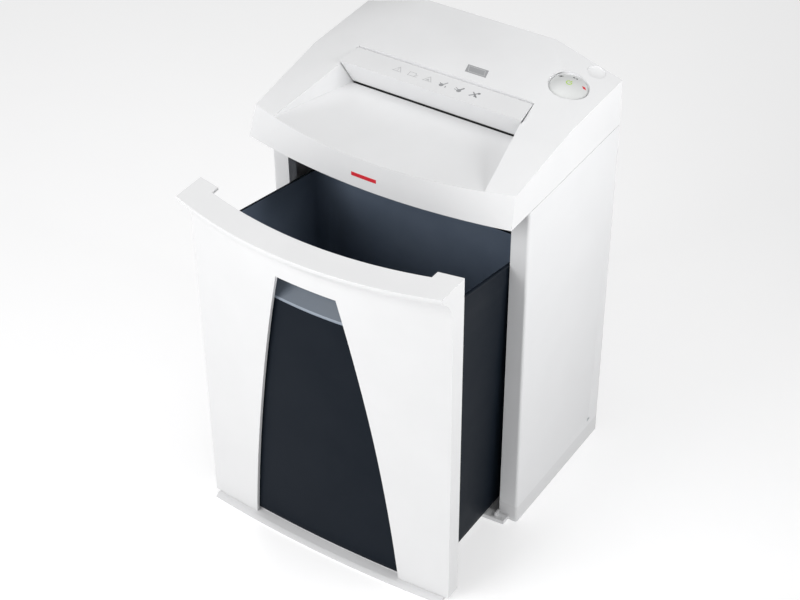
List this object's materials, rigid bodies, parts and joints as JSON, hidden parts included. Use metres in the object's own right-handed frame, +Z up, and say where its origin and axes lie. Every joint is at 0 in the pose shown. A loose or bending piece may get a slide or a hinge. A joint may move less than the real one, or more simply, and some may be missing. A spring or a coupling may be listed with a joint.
{
  "type": "paper shredder",
  "caption": "Upright office paper shredder with a pulled-out front drawer and dark waste bin, a slanted paper tray under a folding safety flap and a geared cutting head.",
  "frame": {"origin": "on the floor, at the middle of the cabinet's footprint", "axes": "+Z up, -Y towards the front where the drawer pulls out, +X to the side with the round button"},
  "size_m": [0.38, 0.4548, 0.6095],
  "materials": {
    "hood_white": "satin moulded plastic, fine grain",
    "panel_white": "smooth satin moulded plastic",
    "cabinet_white": "white moulded plastic",
    "sill_grey": "light grey moulded plastic",
    "bin_dark": "dark anthracite, faintly glossy",
    "dark_plastic": "black moulded plastic",
    "button_silver": "silver-grey lacquered plastic",
    "rubber_dark": "matt",
    "zinc_steel": "zinc plated",
    "cutter_steel": "hardened and oiled",
    "gear_steel": "sintered",
    "gear_plastic": "natural nylon",
    "comb_grey": "filled plastic",
    "bush_bronze": "sintered bronze",
    "copper_wire": "enamelled wire with tape",
    "lamination_steel": "stacked laminations",
    "cast_alloy": "die cast",
    "capacitor_can": "plastic can",
    "circuit_green": "solder mask",
    "plunger_red": "red moulded plastic"
  },
  "bodies": {
    "chassis": {"base_tray": "sill_grey", "rubber_feet": "rubber_dark", "cabinet_left": "cabinet_white", "cabinet_right": "cabinet_white", "rear_panel": "cabinet_white", "front_cross_rail": "dark_plastic", "cabinet_screws": "zinc_steel", "rear_panel_screws": "zinc_steel", "cable_gland": "rubber_dark", "hood": "hood_white", "hood_screws": "zinc_steel", "flap_pins": "zinc_steel", "feed_throat": "dark_plastic", "feed_sensor": "dark_plastic", "button_bezel": "button_silver", "control_board": "circuit_green", "blanking_cap": "button_silver", "deck_plate": "zinc_steel", "deck_screws": "zinc_steel", "side_plate_left": "zinc_steel", "side_plate_right": "zinc_steel", "tie_rods": "zinc_steel", "shaft_bushes": "bush_bronze", "stripper_comb_front": "comb_grey", "stripper_comb_rear": "comb_grey", "gear_pins": "zinc_steel", "gear_cover_plate": "zinc_steel", "gear_cover_posts": "zinc_steel", "motor_stator": "lamination_steel", "motor_windings": "copper_wire", "motor_shield_drive": "cast_alloy", "motor_shield_fan": "cast_alloy", "motor_bearings": "zinc_steel", "motor_bolts": "zinc_steel", "run_capacitor": "capacitor_can", "capacitor_clamp": "zinc_steel", "main_board": "circuit_green", "board_posts": "zinc_steel", "interlock_switch": "dark_plastic", "flap_switch": "dark_plastic"},
    "drawer": {"front_panel": "panel_white", "waste_bin": "bin_dark", "drawer_carrier": "sill_grey", "panel_screws": "zinc_steel"},
    "flap": {"safety_flap": "hood_white"},
    "button": {"control_button": "button_silver"},
    "plunger": {"interlock_plunger": "plunger_red"},
    "rotor": {"motor_rotor": "lamination_steel", "motor_pinion": "gear_steel", "motor_fan": "dark_plastic"},
    "first_wheel": {"first_gear": "gear_plastic"},
    "second_wheel": {"second_gear": "gear_plastic"},
    "rear_cutter": {"cutter_rear": "cutter_steel", "sync_gear_rear": "gear_steel", "drive_gear": "gear_steel"},
    "front_cutter": {"cutter_front": "cutter_steel", "sync_gear_front": "gear_steel"}
  },
  "joints": [
    {"name": "drawer_slide", "type": "slide", "parent": "chassis", "child": "drawer", "axis": [0, -1, 0], "range_m": [-0.144, 0.05]},
    {"name": "flap_hinge", "type": "hinge", "parent": "chassis", "child": "flap", "pos_m": [0, -0.0032, 0.5838], "axis": [-1, 0, 0], "range_deg": [0, 65]},
    {"name": "button_press", "type": "slide", "parent": "chassis", "child": "button", "axis": [-0.2055, 0.0837, -0.9751], "range_m": [0, 0.0015], "stiffness_N_per_m": 600, "springref_m": -0.0008},
    {"name": "plunger_press", "type": "slide", "parent": "chassis", "child": "plunger", "axis": [0, 1, 0], "range_m": [0, 0.0022], "stiffness_N_per_m": 200, "springref_m": -0.001},
    {"name": "rotor_spin", "type": "hinge", "parent": "chassis", "child": "rotor", "pos_m": [0.1, 0.066, 0.492], "axis": [1, 0, 0], "continuous": true},
    {"name": "first_wheel_spin", "type": "hinge", "parent": "chassis", "child": "first_wheel", "pos_m": [0.1, 0.06238, 0.52178], "axis": [1, 0, 0], "continuous": true},
    {"name": "second_wheel_spin", "type": "hinge", "parent": "chassis", "child": "second_wheel", "pos_m": [0.1, 0.02671, 0.53337], "axis": [1, 0, 0], "continuous": true},
    {"name": "rear_cutter_spin", "type": "hinge", "parent": "chassis", "child": "rear_cutter", "pos_m": [0.1, -0.008, 0.492], "axis": [1, 0, 0], "continuous": true},
    {"name": "front_cutter_spin", "type": "hinge", "parent": "chassis", "child": "front_cutter", "pos_m": [0.1, -0.044, 0.492], "axis": [1, 0, 0], "continuous": true}
  ],
  "couplings": [
    {"joint": "first_wheel_spin", "follows": "rotor_spin", "ratio": -0.33333},
    {"joint": "second_wheel_spin", "follows": "rotor_spin", "ratio": 0.11111},
    {"joint": "rear_cutter_spin", "follows": "rotor_spin", "ratio": -0.037037},
    {"joint": "front_cutter_spin", "follows": "rotor_spin", "ratio": 0.037037}
  ]
}
